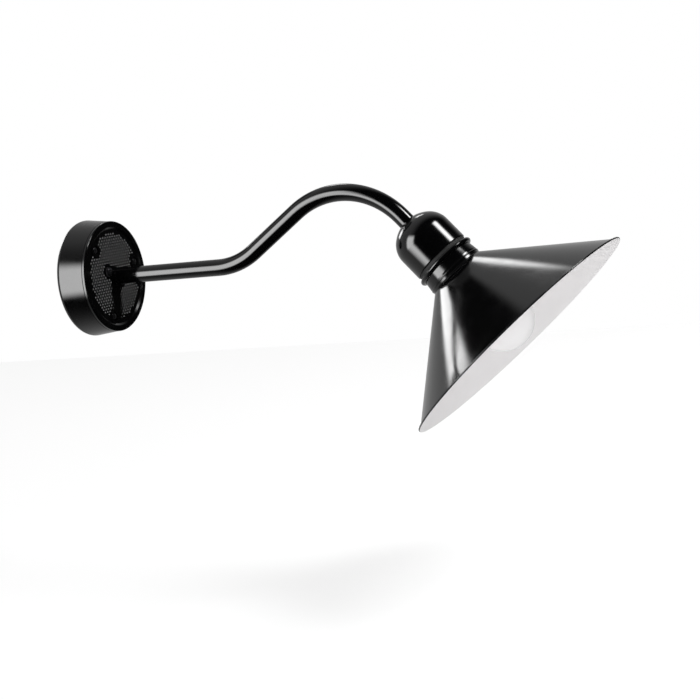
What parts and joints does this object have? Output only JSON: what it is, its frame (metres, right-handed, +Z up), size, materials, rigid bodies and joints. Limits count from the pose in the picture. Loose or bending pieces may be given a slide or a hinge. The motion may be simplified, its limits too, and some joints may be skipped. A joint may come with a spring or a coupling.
{
  "type": "wall sconce",
  "caption": "Gooseneck wall sconce with a round cast wall box, a twice-bent tube, a domed cap and a wide conical shade round an opal bulb.",
  "frame": {"origin": "centre of the wall box's back, in the plane of the wall", "axes": "+Y into the wall, so the arm reaches out towards -Y; +Z up; +X to the right of someone who faces the wall"},
  "size_m": [0.274, 0.5972, 0.2579],
  "materials": {
    "black_castings": "gloss black paint on cast aluminium",
    "black_steel": "gloss black enamel on steel",
    "shade_enamel": "gloss black outside, satin white inside",
    "black_screws": "blackened steel",
    "zinc_steel": "zinc plated",
    "brass": "plain",
    "black_rubber": "matt",
    "white_plastic": "matt",
    "black_plastic": "satin",
    "porcelain": "glazed",
    "brown_insulation": "satin",
    "blue_insulation": "satin",
    "earth_insulation": "green and yellow",
    "tinned_copper": "tinned",
    "opal_glass": "opal",
    "clear_glass": "clear",
    "lamp_cap_metal": "plain",
    "black_glass": "gloss",
    "solder": "matt",
    "tungsten": "plain"
  },
  "bodies": {
    "fixture": {"wall_box": "black_castings", "cable_grommet": "black_rubber", "cover_gasket": "black_rubber", "front_plate": "black_castings", "cover_screws": "black_screws", "arm_screws": "black_screws", "arm_washers": "black_screws", "terminal_block": "white_plastic", "terminal_barrels": "brass", "terminal_screws": "zinc_steel", "block_screw": "zinc_steel", "earth_tags": "tinned_copper", "earth_screws": "zinc_steel", "earth_lead": "earth_insulation", "arm_flange": "black_steel", "arm_tube": "black_steel", "tube_end_bush": "zinc_steel", "live_lead": "brown_insulation", "neutral_lead": "blue_insulation", "threaded_nipple": "zinc_steel", "cap": "black_castings", "cap_washer": "zinc_steel", "cap_nut": "zinc_steel", "lampholder_cap": "black_plastic", "lampholder_skirt": "black_plastic", "lampholder_insert": "porcelain", "lampholder_shell": "brass", "centre_contact": "brass", "lampholder_screws": "brass", "shade_gasket": "black_rubber", "shade": "shade_enamel", "shade_ring": "black_plastic"},
    "lamp_tip": {"lamp_contact": "solder"},
    "lamp": {"lamp_insulator": "black_glass", "lamp_cap": "lamp_cap_metal", "lamp_glass": "opal_glass", "lamp_stem": "clear_glass", "lamp_filament": "tungsten"}
  },
  "joints": [
    {"name": "lamp_travel", "type": "slide", "parent": "fixture", "child": "lamp_tip", "axis": [0, -0.6534, -0.757], "range_m": [0, 0.02177]},
    {"name": "lamp_turn", "type": "hinge", "parent": "lamp_tip", "child": "lamp", "pos_m": [0, -0.42362, -0.0118], "axis": [0, -0.6534, -0.757], "range_deg": [0, 2160]}
  ],
  "couplings": [
    {"joint": "lamp_travel", "follows": "lamp_turn", "m_per_rad": 0.00057757}
  ]
}
